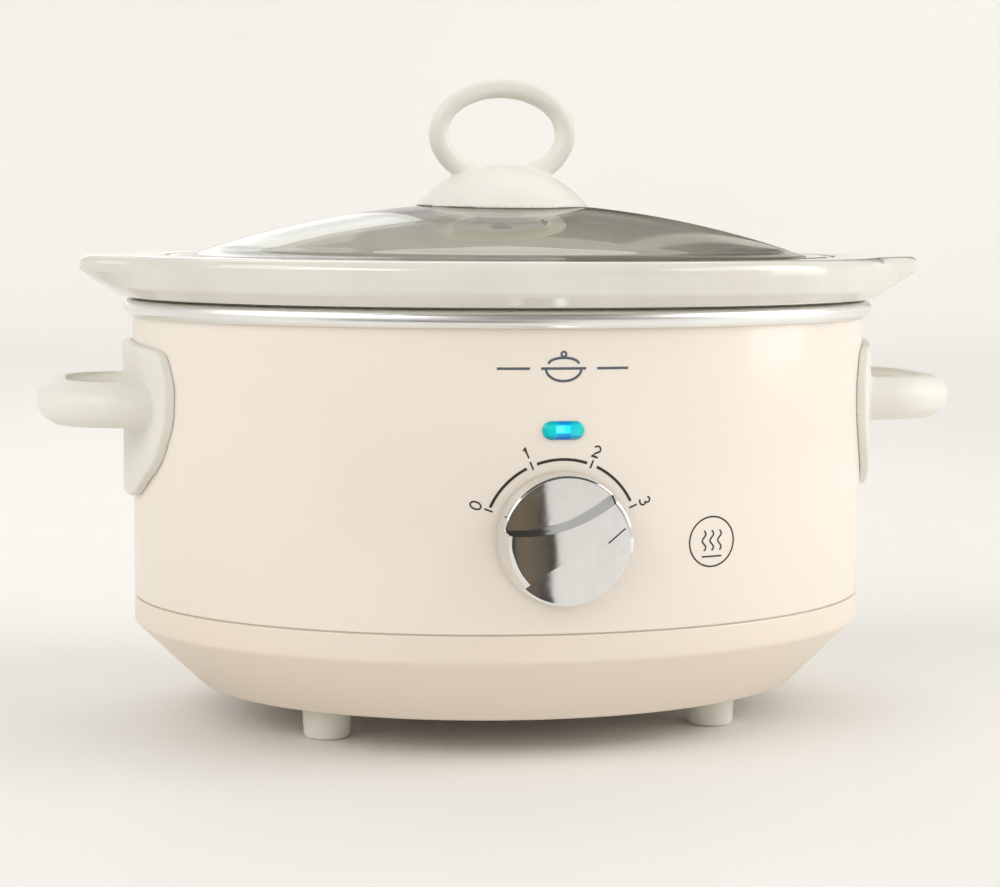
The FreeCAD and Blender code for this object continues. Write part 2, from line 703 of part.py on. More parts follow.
# ---- pot --------------------------------------------------------------------------
def crock():
    """Stoneware pot: its rim overhangs the bead, with a lug at each end."""
    pot = oval([
        (0, 52.5, 0), (119.0, 52.5, 18.0), (134.9, BEAD_TOP, 0.9), (146.5, BEAD_TOP, 0.5),
        (147.2, 170.9, 0.4), (154.8, 171.1, 2.5), (160.3, 175.6, 3.0), (160.3, RIM_TOP, 4.2), (137.4, RIM_TOP, 1.8), (137.4, LEDGE, 0.9), (126.6, LEDGE, 1.6),
        (110.5, 63.0, 17.0), (0, 63.0, 0)])
    side = Part.Face(rounded_wire([
        (146.0, 172.6, 0), (156.3, 172.6, 1.0), (163.5, 176.2, 6.0), (171.3, 179.7, 3.6),
        (171.1, RIM_TOP, 3.4), (146.0, RIM_TOP, 0)], on_xz)).extrude(vec(0, 120, 0))
    side.translate(vec(0, -60, 0))
    plan = Part.Face(rounded_wire([
        (140, -58, 0), (144.5, -56, 0), (150.6, -46, 30.0), (171.6, -28.5, 14.0),
        (171.6, 28.5, 14.0), (150.6, 46, 30.0), (144.5, 56, 0), (140, 58, 0)],
        on_xy)).extrude(vec(0, 0, 20))
    plan.translate(vec(0, 0, 170))
    lug = side.common(plan)
    lug = softened(lug, 2.4, lambda e: lug_edge(e))
    for piece in (lug, mirrored(lug)):
        pot = pot.fuse(piece)
    return only_solid(pot)


def lug_edge(edge):
    """True for the top edge round the end of a lug."""
    span = edge.BoundBox
    return abs(span.ZMin - RIM_TOP) < 0.01 and abs(span.ZMax - RIM_TOP) < 0.01 and span.XMax > 147.5


# ---- lid ----------------------------------------------------------------------------
LID_FLAT = 12.0              # flat middle of the glass under the handle
LID_SHOULDER_X = 118.0       # where the dome turns out into its flat edge
LID_SHOULDER_Z = LID_APEX - 18.3


def dome_arc(lift):
    """Upper or lower line of the dome, from the flat middle to the shoulder."""
    start = vec(LID_FLAT, 0, LID_APEX - lift)
    middle = vec(70.0, 0, LID_APEX - 6.3 - lift)
    end = vec(LID_SHOULDER_X, 0, LID_SHOULDER_Z - lift)
    return Part.Arc(start, middle, end).toShape()


def flare_arc(lift):
    start = vec(LID_SHOULDER_X, 0, LID_SHOULDER_Z - lift)
    middle = vec(124.5, 0, LID_APEX - 20.3 - lift)
    end = vec(131.0, 0, LEDGE + LID_GLASS - lift)
    return Part.Arc(start, middle, end).toShape()


def squashed_turn(edges):
    solid = Part.Face(Part.Wire(edges)).revolve(ORIGIN, AXIS_Z, 360)
    solid.rotate(ORIGIN, AXIS_Z, 90)
    squash = FreeCAD.Matrix()
    squash.scale(1, ASPECT, 1)
    return solid.transformGeometry(squash)


def lid_glass():
    """Domed glass with a flat, rounded edge that rests on the pot's ledge."""
    top = LEDGE + LID_GLASS
    round_x = LID_EDGE_X - LID_GLASS / 2
    edges = [
        Part.makeLine(vec(0, 0, LID_APEX), vec(LID_FLAT, 0, LID_APEX)),
        dome_arc(0), flare_arc(0),
        Part.makeLine(vec(131.0, 0, top), vec(round_x, 0, top)),
        Part.Arc(vec(round_x, 0, top), vec(LID_EDGE_X, 0, LEDGE + LID_GLASS / 2),
                 vec(round_x, 0, LEDGE)).toShape(),
        Part.makeLine(vec(round_x, 0, LEDGE), vec(131.0, 0, LEDGE)),
        flare_arc(LID_GLASS), dome_arc(LID_GLASS),
        Part.makeLine(vec(LID_FLAT, 0, LID_APEX - LID_GLASS), vec(0, 0, LID_APEX - LID_GLASS)),
        Part.makeLine(vec(0, 0, LID_APEX - LID_GLASS), vec(0, 0, LID_APEX))]
    glass = squashed_turn(edges)
    return only_solid(glass.cut(rod(3.2, vec(0, 0, 200), vec(0, 0, 220))))


def dome_filled():
    """Everything under the lid's upper surface near the middle."""
    edges = [
        Part.makeLine(vec(0, 0, LID_APEX), vec(LID_FLAT, 0, LID_APEX)),
        dome_arc(0),
        Part.makeLine(vec(LID_SHOULDER_X, 0, LID_SHOULDER_Z), vec(LID_SHOULDER_X, 0, 180)),
        Part.makeLine(vec(LID_SHOULDER_X, 0, 180), vec(0, 0, 180)),
        Part.makeLine(vec(0, 0, 180), vec(0, 0, LID_APEX))]
    return squashed_turn(edges)


def lid_handle():
    """Finger ring standing on a flared foot."""
    ring_z = 237.1
    half_deep = 6.3
    outer = Part.Face(Part.Wire(Part.Ellipse(ORIGIN, 29.8, 22.85).toShape()))
    inner = Part.Face(Part.Wire(Part.Ellipse(ORIGIN, 22.7, 14.4).toShape()))
    ring = outer.cut(inner).extrude(vec(0, 0, 2 * half_deep))
    ring = softened(ring, 3.3, lambda e: e.Closed)
    ring.translate(vec(0, 0, -half_deep))
    ring.rotate(ORIGIN, AXIS_X, 90)
    ring.translate(vec(0, 0, ring_z))
    foot_low = LID_APEX - 6.5
    foot_top = 224.2
    foot_out = 35.6
    foot_rim = 207.2
    waist = vec(21.0, 0, 219.2)
    foot_edges = [
        Part.makeLine(vec(0, 0, foot_top), vec(3.0, 0, foot_top)),
        Part.Arc(vec(3.0, 0, foot_top), vec(12.5, 0, 222.6), waist).toShape(),
        Part.Arc(waist, vec(28.8, 0, 214.4), vec(foot_out, 0, foot_rim)).toShape(),
        Part.makeLine(vec(foot_out, 0, foot_rim), vec(foot_out, 0, foot_low)),
        Part.makeLine(vec(foot_out, 0, foot_low), vec(0, 0, foot_low)),
        Part.makeLine(vec(0, 0, foot_low), vec(0, 0, foot_top))]
    foot_solid = Part.Face(Part.Wire(foot_edges)).revolve(ORIGIN, AXIS_Z, 360)
    handle = ring.fuse(foot_solid).cut(dome_filled())
    handle = handle.cut(rod(2.05, vec(0, 0, foot_low), vec(0, 0, LID_APEX + 13.5)))
    # removeSplitter spoils this solid, so it is kept as cut
    return handle.Solids[0]


def lid_screw():
    head = LID_APEX - 9.5
    seat = LID_APEX - 6.8
    tip = LID_APEX + 13.0
    return turned([
        (0, head, 0), (4.2, head, 0.9), (4.2, seat, 0), (2.0, seat, 0), (2.0, tip - 0.5, 0.6),
        (0, tip, 0)])


def flat_washer(outer, low, high, edge=0.0):
    return turned([(2.2, low, 0), (outer, low, edge), (outer, high, 0), (2.2, high, 0)])


def lid_washer():
    return flat_washer(8.5, LID_APEX - 6.75, LID_APEX - 5.6)


def lid_seal():
    return flat_washer(10.5, LID_APEX - 5.55, LID_APEX - 4.05, 0.5)


# ---- everything together ------------------------------------------------------------
def main():
    os.makedirs("parts", exist_ok=True)
    plain = [
        base_moulding, body_shell, heating_well, heater_band, heater_clamp, heater_clamp_screw,
        insulation_blanket, heat_shield, centre_stud, centre_spacer, stud_nuts, centre_washer,
        handle_screws, control_knob, knob_pointer, switch_spindle, knob_spring_clip, switch_cam,
        switch_body, switch_cover, switch_terminals, switch_bracket, switch_nut, lamp_lens,
        lamp_holder, indicator_lamp, terminal_block, terminal_screws, cord_gland, thermal_cutout,
        cutout_clip, earth_tag, crock, lid_glass, lid_handle, lid_screw, lid_washer, lid_seal]
    for make in plain:
        save(make.__name__, make())
    for name, points in LEADS.items():
        save(name, lead(points))
    for place, (x, y) in zip(("left_front", "left_rear", "right_front", "right_rear"), foot_places()):
        save("foot_" + place, foot(x, y))
    save("foot_screws", Part.makeCompound([foot_screw(x, y) for x, y in foot_places()]))
    handle = side_handle()
    save("side_handle_right", handle)
    save("side_handle_left", mirrored(handle))
    backing = handle_backing()
    save("handle_backing_right", backing)
    save("handle_backing_left", mirrored(backing))


main()
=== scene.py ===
import json
import math

import bmesh
import bpy
from mathutils import Matrix, Vector


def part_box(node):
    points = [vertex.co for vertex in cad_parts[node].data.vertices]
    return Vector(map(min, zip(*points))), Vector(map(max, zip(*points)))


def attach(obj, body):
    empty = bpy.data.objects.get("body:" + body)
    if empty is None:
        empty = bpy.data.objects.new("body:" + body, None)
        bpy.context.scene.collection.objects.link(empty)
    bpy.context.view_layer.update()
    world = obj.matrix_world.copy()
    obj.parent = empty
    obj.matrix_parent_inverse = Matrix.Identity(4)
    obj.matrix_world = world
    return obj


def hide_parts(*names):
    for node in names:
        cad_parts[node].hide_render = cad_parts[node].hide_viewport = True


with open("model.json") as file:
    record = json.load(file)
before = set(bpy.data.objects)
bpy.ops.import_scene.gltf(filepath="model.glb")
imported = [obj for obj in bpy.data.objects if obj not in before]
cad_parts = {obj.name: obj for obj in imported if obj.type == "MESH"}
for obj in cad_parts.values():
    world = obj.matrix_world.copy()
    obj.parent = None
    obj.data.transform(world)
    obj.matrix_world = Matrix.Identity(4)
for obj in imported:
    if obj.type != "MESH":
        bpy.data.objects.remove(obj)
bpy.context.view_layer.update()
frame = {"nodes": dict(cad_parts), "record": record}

MM = 0.001                   # outlines are given in mm, objects are in metres
NODES = frame["nodes"]

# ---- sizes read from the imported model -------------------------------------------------
shell_low, shell_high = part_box("body_shell")
OVAL_Y = (shell_low.y + shell_high.y) / 2
HALF_X = (shell_high.x - shell_low.x) / 2
HALF_Y = (shell_high.y - shell_low.y) / 2
ASPECT = HALF_Y / HALF_X
base_low, base_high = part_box("base_moulding")
well_low, well_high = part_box("heating_well")
crock_low, crock_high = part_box("crock")
glass_low, glass_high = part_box("lid_glass")
knob_low, knob_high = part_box("control_knob")
lens_low, lens_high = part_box("lamp_lens")
KNOB_Z = (knob_low.z + knob_high.z) / 2
LENS_Z = (lens_low.z + lens_high.z) / 2
SHEET = 0.8                  # mm, thickness of the body's and the well's metal
RING_STEPS = 224             # points round the oval pieces
POT_STEPS = 480              # and round the pot, for its lugs


def in_mm(value):
    return value / MM


# ---- mesh helpers ---------------------------------------------------------------------
ARC_FINENESS = 0.35          # smaller gives more steps on a rounded corner
ARC_STEPS = (2, 14)          # fewest and most steps on one corner


def rounded(corners, fixed=None):
    """Points in metres of an outline given as (x, z, radius) corners in mm.

    fixed, if given, is the number of steps on every rounded corner.
    """
    count = len(corners)
    points = []
    for i in range(count):
        x, z, radius = corners[i]
        here = Vector((x, z))
        if radius == 0:
            points.append(here)
            continue
        back = (Vector(corners[i - 1][:2]) - here).normalized()
        ahead = (Vector(corners[(i + 1) % count][:2]) - here).normalized()
        half = back.angle(ahead) / 2
        centre = here + (back + ahead).normalized() * (radius / math.sin(half))
        start = here + back * (radius / math.tan(half)) - centre
        end = here + ahead * (radius / math.tan(half)) - centre
        sweep = math.pi - 2 * half
        turn = 1 if start.x * end.y - start.y * end.x > 0 else -1
        wanted = math.ceil(sweep * math.sqrt(radius) / ARC_FINENESS)
        steps = fixed or max(ARC_STEPS[0], min(ARC_STEPS[1], wanted))
        for k in range(steps + 1):
            a = turn * sweep * k / steps
            c, s = math.cos(a), math.sin(a)
            points.append(centre + Vector((start.x * c - start.y * s, start.x * s + start.y * c)))
    return [(p.x * MM, p.y * MM) for p in points]


def new_object(name, mesh):
    obj = bpy.data.objects.new(name, mesh)
    bpy.context.scene.collection.objects.link(obj)
    return obj


def mesh_object(name, verts, faces):
    mesh = bpy.data.meshes.new(name)
    mesh.from_pydata(verts, [], faces)
    mesh.validate()
    obj = new_object(name, mesh)
    face_outward(obj)
    return obj


def face_outward(obj):
    """Turn every face of a closed mesh outwards."""
    shape = bmesh.new()
    shape.from_mesh(obj.data)
    bmesh.ops.recalc_face_normals(shape, faces=shape.faces)
    shape.to_mesh(obj.data)
    shape.free()


def smooth(obj, angle=35.0):
    """Smooth shading with edges sharper than angle kept sharp."""
    obj.data.polygons.foreach_set("use_smooth", [True] * len(obj.data.polygons))
    obj.data.set_sharp_from_angle(angle=math.radians(angle))
    return obj


AXIS_REACH = 1e-7            # metres: a point nearer the axis than this is on it


def ring_solid(name, outline, place, steps=RING_STEPS, angle=35.0):
    """Closed solid swept round an axis.

    place(x, z, turn) puts each point of the outline in space; x = 0 is on the axis.
    """
    verts, rings = [], []
    for x, z in outline:
        if x < AXIS_REACH:
            rings.append([len(verts)])
            verts.append(place(0.0, z, 0.0))
        else:
            rings.append(list(range(len(verts), len(verts) + steps)))
            verts += [place(x, z, math.tau * j / steps) for j in range(steps)]
    faces = []
    for i in range(len(rings)):
        a, b = rings[i], rings[(i + 1) % len(rings)]
        if len(a) == 1 and len(b) == 1:
            continue
        for j in range(steps):
            k = (j + 1) % steps
            if len(a) == 1:
                faces.append((a[0], b[j], b[k]))
            elif len(b) == 1:
                faces.append((a[j], b[0], a[k]))
            else:
                faces.append((a[j], b[j], b[k], a[k]))
    return smooth(mesh_object(name, verts, faces), angle)


def on_circle(x, z, turn, centre=(0.0, 0.0)):
    return (centre[0] + x * math.cos(turn), centre[1] + x * math.sin(turn), z)


def on_oval(x, z, turn):
    return (x * math.cos(turn), OVAL_Y + x * ASPECT * math.sin(turn), z)


def oval_solid(name, corners):
    return ring_solid(name, rounded(corners), on_oval)


def apply_modifiers(obj):
    view = bpy.context.evaluated_depsgraph_get()
    view.update()
    mesh = bpy.data.meshes.new_from_object(obj.evaluated_get(view))
    old = obj.data
    obj.modifiers.clear()
    obj.data = mesh
    bpy.data.meshes.remove(old)


def wall_front(x, out):
    """Y of the body wall's front face at x, out metres proud of it."""
    return OVAL_Y - (HALF_Y + out) * math.sqrt(1 - (x / (HALF_X + out)) ** 2)


# ---- materials ------------------------------------------------------------------------
class Paint:
    """A procedural material: a Principled shader and the nodes that feed it."""

    def __init__(self, name):
        self.material = bpy.data.materials.new(name)
        self.material.use_nodes = True
        self.tree = self.material.node_tree
        self.tree.nodes.clear()
        output = self.node("ShaderNodeOutputMaterial")
        self.shader = self.node("ShaderNodeBsdfPrincipled")
        self.link(self.shader.outputs[0], output.inputs["Surface"])
        self.place = self.node("ShaderNodeTexCoord").outputs["Object"]
        self.height = None

    def node(self, kind):
        return self.tree.nodes.new(kind)

    def link(self, start, end):
        self.tree.links.new(start, end)

    def put(self, **values):
        """Set sockets of the shader, such as Coat_Weight=0.3."""
        for key, value in values.items():
            self.shader.inputs[key.replace("_", " ")].default_value = value

    def noise(self, scale, detail, rough=0.5, where=None, warp=0.0):
        node = self.node("ShaderNodeTexNoise")
        node.inputs["Scale"].default_value = scale
        node.inputs["Detail"].default_value = detail
        node.inputs["Roughness"].default_value = rough
        node.inputs["Distortion"].default_value = warp
        self.link(where or self.place, node.inputs["Vector"])
        return node.outputs["Fac"]

    def cells(self, scale):
        node = self.node("ShaderNodeTexVoronoi")
        node.inputs["Scale"].default_value = scale
        self.link(self.place, node.inputs["Vector"])
        return node.outputs["Distance"]

    def stretched(self, x, y, z):
        node = self.node("ShaderNodeMapping")
        node.inputs["Scale"].default_value = (x, y, z)
        self.link(self.place, node.inputs["Vector"])
        return node.outputs["Vector"]

    def place_parts(self):
        """x, y and z of the point being shaded."""
        parts = self.node("ShaderNodeSeparateXYZ")
        self.link(self.place, parts.inputs[0])
        return parts.outputs

    def round_axis(self):
        """(angle round the oval, distance from its axis, height), for lines that run round it."""
        x, y, z = self.place_parts()
        y = self.math("MULTIPLY", self.math("SUBTRACT", y, OVAL_Y), 1 / ASPECT)
        squares = self.math("ADD", self.math("MULTIPLY", y, y), self.math("MULTIPLY", x, x))
        joined = self.node("ShaderNodeCombineXYZ")
        self.link(self.math("ARCTAN2", y, x), joined.inputs[0])
        self.link(self.math("SQRT", squares), joined.inputs[1])
        self.link(z, joined.inputs[2])
        return joined.outputs[0]

    def scaled(self, vector, x, y, z):
        node = self.node("ShaderNodeVectorMath")
        node.operation = "MULTIPLY"
        self.link(vector, node.inputs[0])
        node.inputs[1].default_value = (x, y, z)
        return node.outputs[0]

    def math(self, operation, a, b=0.0):
        node = self.node("ShaderNodeMath")
        node.operation = operation
        for socket, value in zip(node.inputs, (a, b)):
            if isinstance(value, (int, float)):
                socket.default_value = value
            else:
                self.link(value, socket)
        return node.outputs[0]

    def range(self, value, low, high, to_low, to_high):
        node = self.node("ShaderNodeMapRange")
        self.link(value, node.inputs["Value"])
        ends = {"From Min": low, "From Max": high, "To Min": to_low, "To Max": to_high}
        for name, number in ends.items():
            node.inputs[name].default_value = number
        return node.outputs["Result"]

    def ramp(self, value, *stops):
        node = self.node("ShaderNodeValToRGB")
        self.link(value, node.inputs["Fac"])
        bar = node.color_ramp.elements
        while len(bar) < len(stops):
            bar.new(0.5)
        for element, (spot, colour) in zip(bar, stops):
            element.position = spot
            element.color = (*colour, 1.0)
        return node.outputs["Color"]

    def mix(self, amount, first, second, blend="MIX"):
        node = self.node("ShaderNodeMix")
        node.data_type = "RGBA"
        node.blend_type = blend
        sockets = (node.inputs[0], node.inputs[6], node.inputs[7])
        for socket, value in zip(sockets, (amount, first, second)):
            if isinstance(value, tuple):
                socket.default_value = (*value, 1.0)
            elif isinstance(value, (int, float)):
                socket.default_value = value
            else:
                self.link(value, socket)
        return node.outputs[2]

    def colour(self, value):
        self.link(value, self.shader.inputs["Base Color"])

    def roughness(self, value):
        self.link(value, self.shader.inputs["Roughness"])

    def bump(self, value, depth):
        """Add a layer of relief, depth in mm."""
        node = self.node("ShaderNodeBump")
        node.inputs["Strength"].default_value = 1.0
        node.inputs["Distance"].default_value = depth * MM
        self.link(value, node.inputs["Height"])
        if self.height is not None:
            self.link(self.height, node.inputs["Normal"])
        self.height = node.outputs["Normal"]
        self.link(self.height, self.shader.inputs["Normal"])


def cream(name, tone, rough, coat, peel):
    """Cream enamel, or the plastic that matches it: slow orange peel, a few rubbed patches."""
    paint = Paint(name)
    cloudy = paint.noise(7.0, 2.0)
    warm = tuple(c * s for c, s in zip(tone, (0.988, 0.980, 0.966)))
    paint.colour(paint.ramp(cloudy, (0.35, warm), (0.65, tone)))
    smudge = paint.noise(24.0, 4.0, 0.6)
    paint.roughness(paint.range(smudge, 0.3, 0.75, rough * 0.88, rough * 1.18))
    paint.put(Coat_Weight=coat, Coat_Roughness=0.07, IOR=1.48)
    paint.bump(paint.noise(300.0, 2.0), peel)
    return paint.material


def satin_plastic(name, tone, rough):
    """Warm off-white moulding with a fine spark-eroded texture and faint flow clouds."""
    paint = Paint(name)
    cloudy = paint.noise(26.0, 3.0, 0.55, warp=0.6)
    deep = tuple(c * s for c, s in zip(tone, (0.955, 0.95, 0.93)))
    paint.colour(paint.ramp(cloudy, (0.3, deep), (0.7, tone)))
    rub = paint.noise(90.0, 3.0)
    paint.roughness(paint.range(rub, 0.3, 0.7, rough * 0.86, rough * 1.14))
    paint.put(Subsurface_Weight=0.06, Subsurface_Scale=0.0015, IOR=1.47)
    paint.bump(paint.noise(1900.0, 2.0), 0.010)
    paint.bump(paint.cells(2600.0), 0.006)
    return paint.material


def glaze():
    """Clear-glazed stoneware: soft clouds, a scatter of brown pin specks, slow waves."""
    paint = Paint("stoneware_glaze")
    cloudy = paint.noise(19.0, 3.0, 0.55, warp=0.4)
    body = paint.ramp(cloudy, (0.3, (0.705, 0.685, 0.605)), (0.7, (0.770, 0.755, 0.685)))
    speck = paint.math("LESS_THAN", paint.cells(330.0), 0.085)
    picked = paint.math("GREATER_THAN", paint.noise(150.0, 1.0), 0.60)
    dots = paint.math("MULTIPLY", speck, picked)
    body = paint.mix(paint.math("MULTIPLY", dots, 0.35), body, (0.36, 0.29, 0.20))
    paint.colour(body)
    paint.roughness(paint.range(paint.noise(55.0, 3.0), 0.3, 0.7, 0.10, 0.17))
    paint.put(Coat_Weight=0.5, Coat_Roughness=0.04, IOR=1.52)
    paint.bump(paint.noise(52.0, 2.0, 0.45), 0.28)
    paint.bump(paint.noise(240.0, 2.0), 0.016)
    return paint.material


def biscuit():
    """Bare fired clay under the pot's foot."""
    paint = Paint("bare_stoneware")
    grain = paint.noise(420.0, 5.0, 0.65)
    paint.colour(paint.ramp(grain, (0.3, (0.46, 0.36, 0.25)), (0.7, (0.66, 0.55, 0.41))))
    paint.put(Roughness=0.85)
    paint.bump(grain, 0.12)
    return paint.material


def spun_metal(name, tone, rough, round_oval=False, line_depth=0.006):
    """Sheet or bar metal with fine drawing lines, along x or round the oval."""
    paint = Paint(name)
    if round_oval:
        where = paint.scaled(paint.round_axis(), 2.5, 2200.0, 2200.0)
    else:
        where = paint.stretched(90.0, 2400.0, 2400.0)
    lines = paint.noise(1.0, 3.0, 0.6, where)
    stain = paint.noise(24.0, 4.0, 0.6)
    dull = tuple(c * 0.88 for c in tone)
    paint.colour(paint.mix(paint.range(stain, 0.35, 0.7, 0.0, 0.6), tone, dull))
    paint.put(Metallic=1.0)
    paint.roughness(paint.math("ADD", paint.range(lines, 0.3, 0.7, rough * 0.8, rough * 1.2),
                               paint.range(stain, 0.4, 0.8, 0.0, 0.07)))
    paint.bump(lines, line_depth)
    return paint.material


def chrome():
    """Bright plating with the faintest waviness and wipe marks."""
    paint = Paint("bright_chrome")
    wipe = paint.noise(160.0, 4.0, 0.6, warp=0.5)
    paint.colour(paint.ramp(wipe, (0.3, (0.80, 0.80, 0.79)), (0.7, (0.87, 0.87, 0.87))))
    paint.put(Metallic=1.0)
    paint.roughness(paint.range(wipe, 0.35, 0.75, 0.035, 0.075))
    paint.bump(paint.noise(70.0, 1.0), 0.010)
    return paint.material


def clear_glass():
    """Toughened glass with slow rolls in its surface; its darker olive tint is painted shade and
    reflection.
    """
    paint = Paint("toughened_glass_painted_shade")
    film = paint.noise(30.0, 3.0)
    # painted shade and reflection: the darker olive tint stands for a dark room reflected in the
    # lid and the pot's shaded inside
    paint.colour(paint.ramp(film, (0.3, (0.70, 0.695, 0.62)), (0.7, (0.74, 0.735, 0.66))))
    paint.roughness(paint.range(film, 0.4, 0.8, 0.0, 0.02))
    paint.put(Transmission_Weight=1.0, IOR=1.5)
    paint.bump(paint.noise(14.0, 1.0), 0.10)
    return paint.material


def lamp_blue():
    """Lit blue window: bright lamp just left of the middle, blue prism bars, teal ends."""
    paint = Paint("lit_blue_window")
    x, _, z = paint.place_parts()
    up = paint.math("SUBTRACT", z, LENS_Z)
    ends = paint.ramp(paint.range(x, -8.0 * MM, 8.0 * MM, 0.0, 1.0),
                      (0.0, (0.0, 0.30, 0.36)), (0.12, (0.0, 0.50, 0.50)),
                      (0.33, (0.0, 0.52, 0.56)), (0.36, (0.0, 0.36, 0.66)),
                      (0.64, (0.0, 0.28, 0.70)), (0.68, (0.0, 0.50, 0.62)),
                      (0.90, (0.0, 0.56, 0.52)), (1.0, (0.0, 0.30, 0.38)))
    bars = paint.ramp(paint.range(up, -3.4 * MM, 3.4 * MM, 0.0, 1.0),
                      (0.0, (0.30, 0.34, 0.50)), (0.16, (0.45, 0.50, 0.75)),
                      (0.30, (1.0, 1.0, 1.0)), (0.78, (1.0, 1.0, 1.0)), (1.0, (0.40, 0.50, 0.62)))
    tint = paint.mix(1.0, ends, bars, "MULTIPLY")

    def window(left, right, low, high):
        """1 inside a soft-edged rectangle given in mm, 0 outside it."""
        soft = 0.35
        sides = [paint.range(x, (left - soft) * MM, (left + soft) * MM, 0.0, 1.0),
                 paint.range(x, (right - soft) * MM, (right + soft) * MM, 1.0, 0.0),
                 paint.range(up, (low - soft) * MM, (low + soft) * MM, 0.0, 1.0),
                 paint.range(up, (high - soft) * MM, (high + soft) * MM, 1.0, 0.0)]
        inside = sides[0]
        for side in sides[1:]:
            inside = paint.math("MULTIPLY", inside, side)
        return inside

    glow = window(-2.9, 2.4, -0.9, 1.9)
    core = window(-2.7, 0.2, -0.7, 1.7)
    lit = paint.mix(core, paint.mix(glow, tint, (0.0, 0.78, 0.88)), (0.09, 0.90, 0.92))
    power = paint.math("ADD", paint.math("MULTIPLY", glow, 0.22), 0.27)
    paint.colour(lit)
    paint.link(lit, paint.shader.inputs["Emission Color"])
    paint.link(power, paint.shader.inputs["Emission Strength"])
    paint.put(Roughness=0.15, Coat_Weight=0.3, Coat_Roughness=0.05, IOR=1.45)
    paint.bump(paint.noise(500.0, 1.0), 0.01)
    return paint.material


def ink(name, tone):
    """Screen-printed ink, a little uneven."""
    paint = Paint(name)
    grain = paint.noise(900.0, 3.0)
    pale = tuple(min(1.0, c * 1.35 + 0.01) for c in tone)
    paint.colour(paint.ramp(grain, (0.35, tone), (0.75, pale)))
    paint.put(Roughness=0.5)
    paint.bump(grain, 0.008)
    return paint.material


def dull_solid(name, tone, rough, scale=500.0, depth=0.04, spread=0.2):
    """Rubber, clay, wool, sleeving or moulding for the pieces inside and under the body."""
    paint = Paint(name)
    grain = paint.noise(scale, 5.0, 0.6)
    low = tuple(c * (1 - spread) for c in tone)
    high = tuple(min(1.0, c * (1 + spread * 0.6)) for c in tone)
    paint.colour(paint.ramp(grain, (0.3, low), (0.7, high)))
    paint.roughness(paint.range(grain, 0.3, 0.7, rough * 0.88, min(1.0, rough * 1.1)))
    paint.bump(grain, depth)
    return paint.material


CREAM = (0.874, 0.804, 0.722)
BASE_CREAM = (0.838, 0.745, 0.642)
GREY_WHITE = (0.832, 0.816, 0.756)

MATERIALS = {
    "cream_paint": cream("cream_enamel", CREAM, 0.32, 0.30, 0.010),
    "cream_plastic": cream("cream_moulding", BASE_CREAM, 0.38, 0.12, 0.014),
    "grey_plastic": satin_plastic("warm_grey_moulding", GREY_WHITE, 0.42),
    "glaze": glaze(),
    "clear_glass": clear_glass(),
    "aluminium": spun_metal("satin_aluminium", (0.92, 0.92, 0.91), 0.30, True, 0.0015),
    "chrome": chrome(),
    "blue_lens": lamp_blue(),
    "zinc_steel": spun_metal("zinc_plated_steel", (0.60, 0.60, 0.58), 0.34, line_depth=0.012),
    "stainless": spun_metal("stainless_steel", (0.68, 0.68, 0.67), 0.28),
    "brass": spun_metal("plain_brass", (0.78, 0.60, 0.28), 0.30),
    "foil_mica": dull_solid("foil_and_mica", (0.60, 0.57, 0.50), 0.38, 260.0, 0.10),
    "mineral_wool": dull_solid("mineral_wool", (0.74, 0.70, 0.58), 0.95, 700.0, 0.6, 0.3),
    "dark_plastic": dull_solid("dark_moulding", (0.030, 0.028, 0.026), 0.45, 900.0, 0.02),
    "white_plastic": dull_solid("white_moulding", (0.80, 0.80, 0.78), 0.45, 900.0, 0.02, 0.05),
    "ceramic": dull_solid("bare_ceramic", (0.80, 0.77, 0.68), 0.7, 600.0, 0.05, 0.08),
    "black_rubber": dull_solid("black_bush", (0.022, 0.022, 0.022), 0.6, 800.0, 0.05),
    "silicone": dull_solid("pale_silicone", (0.72, 0.72, 0.68), 0.55, 500.0, 0.02, 0.06),
    "wire_sleeve": dull_solid("woven_sleeve", (0.62, 0.57, 0.46), 0.8, 2400.0, 0.25, 0.3),
}
BISCUIT = biscuit()
DIAL_INK = ink("dial_ink", (0.030, 0.017, 0.012))
SLATE_INK = ink("slate_ink", (0.085, 0.100, 0.125))


def finish_piece(obj, slot_name, body, *replaced, material=None):
    """Give a piece its material, its body and the CAD nodes that it stands for."""
    obj.data.materials.clear()
    obj.data.materials.append(material or MATERIALS[slot_name])
    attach(obj, body)
    if replaced:
        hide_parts(*replaced)


# ---- camera, light and floor ----------------------------------------------------------
CAMERA_SPOT = (-0.1906, OVAL_Y - 0.9857, 0.20795)
CAMERA_HEADING = math.radians(10.94)     # to the right of +Y
CAMERA_DIP = math.radians(5.58)
CAMERA_ROLL = math.radians(0.33)
SENSOR_WIDTH = 36.0                      # mm
FOCAL_LENGTH = 87.81                     # mm, which fits the photo

WORLD_POWER = 0.71
WORLD_LOW = (0.70, 0.69, 0.67)
WORLD_HIGH = (0.88, 0.87, 0.85)
CARD_THICK = 8.0                         # mm
FLOOR_OUT = 3200.0                       # mm, radius of the round floor
FLOOR_BEND = 800.0                       # radius of its curve up at the edge
FLOOR_TOP = 1000.0
FLOOR_THICK = 20.0
WARM_WHITE = (1.0, 0.99, 0.97)


def make_camera():
    camera = bpy.data.cameras.new("camera")
    camera.sensor_width = SENSOR_WIDTH
    camera.lens = FOCAL_LENGTH
    camera.dof.use_dof = False
    camera.clip_start = 0.05
    camera.clip_end = 60.0
    rig = bpy.data.objects.new("camera", camera)
    bpy.context.scene.collection.objects.link(rig)
    rig.location = CAMERA_SPOT
    level = math.cos(CAMERA_DIP)
    ahead = Vector((math.sin(CAMERA_HEADING) * level,
                    math.cos(CAMERA_HEADING) * level,
                    -math.sin(CAMERA_DIP)))
    aim = ahead.to_track_quat("-Z", "Y").to_matrix()
    rig.rotation_euler = (aim @ Matrix.Rotation(CAMERA_ROLL, 3, "Z")).to_euler()
    bpy.context.scene.camera = rig


